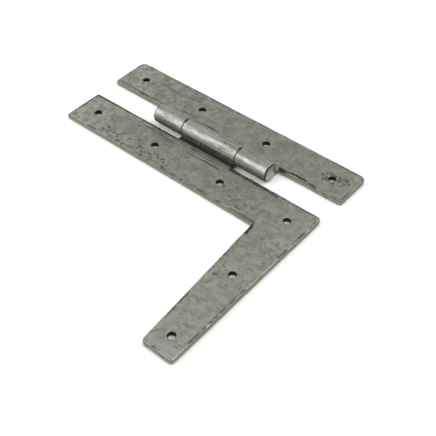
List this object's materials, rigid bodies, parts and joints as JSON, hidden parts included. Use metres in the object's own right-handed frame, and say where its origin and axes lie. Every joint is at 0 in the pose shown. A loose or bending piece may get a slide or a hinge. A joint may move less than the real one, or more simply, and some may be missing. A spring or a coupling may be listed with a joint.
{
  "type": "h-l hinge",
  "caption": "Forged H-L door hinge: a straight strap and an L-shaped strap with a tapering leg, rolled into knuckles round a peened pin, with plain screw holes in both leaves.",
  "frame": {"origin": "under the pin's axis at the middle of the straps, on the screwing plane", "axes": "+X along the pin towards the leg of the L, +Y across towards the straight strap, +Z out of the screwing plane towards the barrel"},
  "size_m": [0.178, 0.1683, 0.012],
  "materials": {
    "leaf_steel": "burnished and patinated, black left in the recesses",
    "pin_steel": "hammered bright over a dark ring"
  },
  "bodies": {
    "straight_side": {"straight_leaf": "leaf_steel", "hinge_pin": "pin_steel"},
    "l_side": {"l_leaf": "leaf_steel"}
  },
  "joints": [
    {"name": "l_leaf_swing", "type": "hinge", "parent": "straight_side", "child": "l_side", "pos_m": [0, 0, 0.006], "axis": [-1, 0, 0], "range_deg": [-90, 180]}
  ]
}
